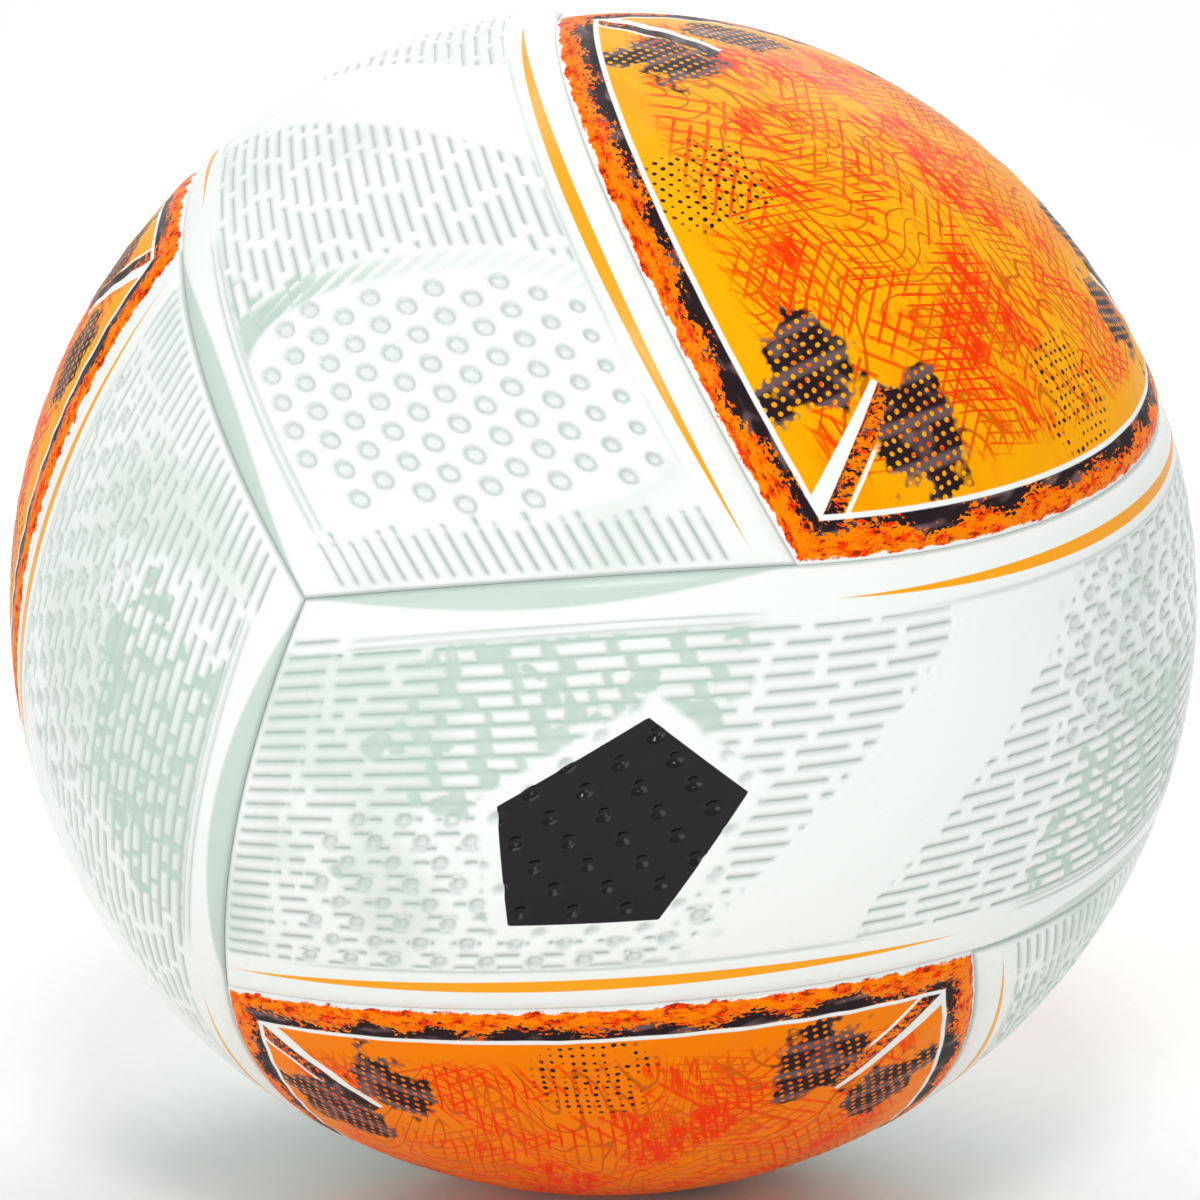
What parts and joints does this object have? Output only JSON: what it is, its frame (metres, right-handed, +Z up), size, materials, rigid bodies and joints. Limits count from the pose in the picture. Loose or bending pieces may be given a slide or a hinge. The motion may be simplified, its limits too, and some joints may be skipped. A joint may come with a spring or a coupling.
{
  "type": "soccer ball",
  "caption": "Full-size soccer ball with bonded long white panels and three-cornered orange panels, foam backing, wound carcass, bladder and removable valve core.",
  "frame": {"origin": "centre of the ball", "axes": "+Z up as the ball rests, -Y towards the person looking at its face, +X to that person's right; the valve faces away, on the rear panel"},
  "size_m": [0.22, 0.22, 0.22],
  "materials": {
    "white_cover": "embossed coated cover, satin gloss",
    "orange_cover": "embossed coated cover, printed, satin gloss",
    "foam_backing": "closed-cell foam, matt",
    "carcass_rubber": "moulded rubber, matt",
    "winding_thread": "wound thread in latex",
    "bladder_butyl": "smooth butyl",
    "valve_rubber": "moulded rubber, satin",
    "core_rubber": "moulded rubber, satin"
  },
  "bodies": {
    "root": {"white_panel_front": "white_cover", "white_panel_rear": "white_cover", "white_panel_top": "white_cover", "white_panel_bottom": "white_cover", "white_panel_left": "white_cover", "white_panel_right": "white_cover", "orange_panel_upper": "orange_cover", "orange_panel_lower": "orange_cover", "orange_panel_left": "orange_cover", "orange_panel_rear": "orange_cover", "white_foam_front": "foam_backing", "white_foam_rear": "foam_backing", "white_foam_top": "foam_backing", "white_foam_bottom": "foam_backing", "white_foam_left": "foam_backing", "white_foam_right": "foam_backing", "orange_foam_upper": "foam_backing", "orange_foam_lower": "foam_backing", "orange_foam_left": "foam_backing", "orange_foam_rear": "foam_backing", "carcass": "carcass_rubber", "thread_winding": "winding_thread", "bladder": "bladder_butyl", "valve_housing": "valve_rubber"},
    "valve_core": {"valve_core": "core_rubber"}
  },
  "joints": [
    {"name": "valve_core_pull", "type": "slide", "parent": "root", "child": "valve_core", "axis": [-0.4509, 0.8822, 0.1358], "range_m": [0, 0.024]}
  ]
}
